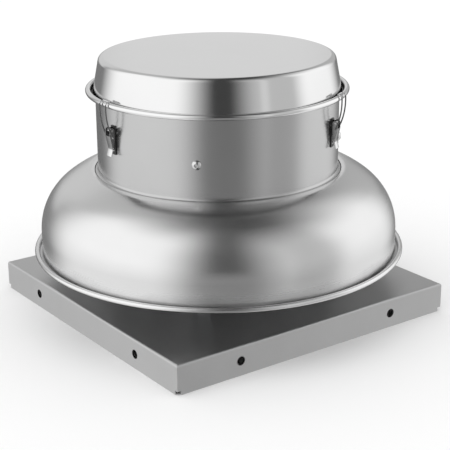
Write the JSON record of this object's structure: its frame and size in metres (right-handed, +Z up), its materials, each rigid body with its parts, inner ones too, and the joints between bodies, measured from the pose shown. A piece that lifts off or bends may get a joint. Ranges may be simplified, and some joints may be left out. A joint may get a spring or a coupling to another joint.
{
  "type": "roof exhaust fan",
  "caption": "Spun-aluminium downblast roof exhaust fan: square curb cap, domed windband, motor shroud and flat-topped cover held by toggle latches over a direct-drive centrifugal wheel.",
  "frame": {"origin": "under the middle of the curb cap, level with the flange's lower edge", "axes": "+Z up along the fan's axis; +X and +Y square to the curb cap's sides"},
  "size_m": [0.649, 0.649, 0.4506],
  "materials": {
    "cap_aluminium": "mill-finish sheet",
    "spun_aluminium": "satin, spun",
    "shroud_aluminium": "satin, rolled",
    "bright_aluminium": "bright, spun",
    "wheel_aluminium": "mill-finish sheet",
    "cast_aluminium": "as cast",
    "zinc_steel": "zinc plated",
    "bright_steel": "polished",
    "latch_steel": "bright plated",
    "motor_paint": "semi-gloss paint",
    "core_steel": "laminated",
    "copper_wire": "enamelled winding",
    "bronze": "sintered bronze",
    "rubber": "moulded",
    "black_steel": "black oxide",
    "black_plastic": "moulded"
  },
  "bodies": {
    "housing": {"curb_cap": "cap_aluminium", "inlet_venturi": "spun_aluminium", "venturi_rivets": "zinc_steel", "support_leg_1": "zinc_steel", "support_leg_2": "zinc_steel", "support_leg_3": "zinc_steel", "support_leg_4": "zinc_steel", "leg_bolts": "zinc_steel", "leg_nuts": "zinc_steel", "bird_screen": "zinc_steel", "windband": "spun_aluminium", "shroud": "shroud_aluminium", "motor_deck": "zinc_steel", "shroud_bracket_1": "zinc_steel", "shroud_bracket_2": "zinc_steel", "shroud_bracket_3": "zinc_steel", "shroud_bracket_4": "zinc_steel", "shroud_bolts": "bright_steel", "shroud_nuts": "zinc_steel", "isolators": "rubber", "isolator_bolts": "zinc_steel", "motor_cradle": "zinc_steel", "motor_shell": "motor_paint", "lower_end_bell": "cast_aluminium", "upper_end_bell": "cast_aluminium", "lower_bearing": "bronze", "upper_bearing": "bronze", "stator_core": "core_steel", "stator_windings": "copper_wire", "motor_bolts": "zinc_steel", "switch_box": "zinc_steel", "switch_cover": "bright_steel", "switch_screws": "zinc_steel", "switch_body": "black_plastic", "wiring_tube": "zinc_steel", "tube_locknuts": "zinc_steel", "latch_base_1": "latch_steel", "latch_base_2": "latch_steel", "latch_base_3": "latch_steel", "latch_pins": "bright_steel", "latch_rivets": "bright_steel"},
    "rotor": {"motor_shaft": "bright_steel", "rotor_core": "core_steel", "wheel_hub": "cast_aluminium", "wheel_back_plate": "wheel_aluminium", "wheel_blades": "wheel_aluminium", "wheel_inlet_ring": "wheel_aluminium", "hub_rivets": "zinc_steel", "hub_set_screws": "black_steel"},
    "cover": {"motor_cover": "bright_aluminium"},
    "lever_1": {"latch_lever_1": "latch_steel"},
    "bail_1": {"latch_bail_1": "bright_steel"},
    "lever_2": {"latch_lever_2": "latch_steel"},
    "bail_2": {"latch_bail_2": "bright_steel"},
    "lever_3": {"latch_lever_3": "latch_steel"},
    "bail_3": {"latch_bail_3": "bright_steel"},
    "toggle": {"switch_toggle": "black_plastic"}
  },
  "joints": [
    {"name": "wheel_spin", "type": "hinge", "parent": "housing", "child": "rotor", "pos_m": [0, 0, 0.2498], "axis": [0, 0, 1], "continuous": true},
    {"name": "cover_lift", "type": "slide", "parent": "housing", "child": "cover", "axis": [0, 0, 1], "range_m": [0, 0.02]},
    {"name": "latch_1_lever", "type": "hinge", "parent": "housing", "child": "lever_1", "pos_m": [-0.216, 0, 0.3488], "axis": [0, 1, 0], "range_deg": [0, 165]},
    {"name": "latch_1_bail", "type": "hinge", "parent": "lever_1", "child": "bail_1", "pos_m": [-0.216, 0, 0.3368], "axis": [0, 1, 0], "range_deg": [-247.5, 0]},
    {"name": "latch_2_lever", "type": "hinge", "parent": "housing", "child": "lever_2", "pos_m": [0.108, -0.18706, 0.3488], "axis": [-0.866, -0.5, 0], "range_deg": [0, 165]},
    {"name": "latch_2_bail", "type": "hinge", "parent": "lever_2", "child": "bail_2", "pos_m": [0.108, -0.18706, 0.3368], "axis": [-0.866, -0.5, 0], "range_deg": [-247.5, 0]},
    {"name": "latch_3_lever", "type": "hinge", "parent": "housing", "child": "lever_3", "pos_m": [0.108, 0.18706, 0.3488], "axis": [0.866, -0.5, 0], "range_deg": [0, 165]},
    {"name": "latch_3_bail", "type": "hinge", "parent": "lever_3", "child": "bail_3", "pos_m": [0.108, 0.18706, 0.3368], "axis": [0.866, -0.5, 0], "range_deg": [-247.5, 0]},
    {"name": "switch_toggle", "type": "hinge", "parent": "housing", "child": "toggle", "pos_m": [0, 0.16802, 0.3048], "axis": [1, 0, 0], "range_deg": [-44, 0]}
  ],
  "couplings": [
    {"joint": "latch_1_lever", "follows": "cover_lift", "rad_per_m": 143.98},
    {"joint": "latch_1_bail", "follows": "cover_lift", "rad_per_m": -215.97},
    {"joint": "latch_2_lever", "follows": "cover_lift", "rad_per_m": 143.98},
    {"joint": "latch_2_bail", "follows": "cover_lift", "rad_per_m": -215.97},
    {"joint": "latch_3_lever", "follows": "cover_lift", "rad_per_m": 143.98},
    {"joint": "latch_3_bail", "follows": "cover_lift", "rad_per_m": -215.97}
  ]
}
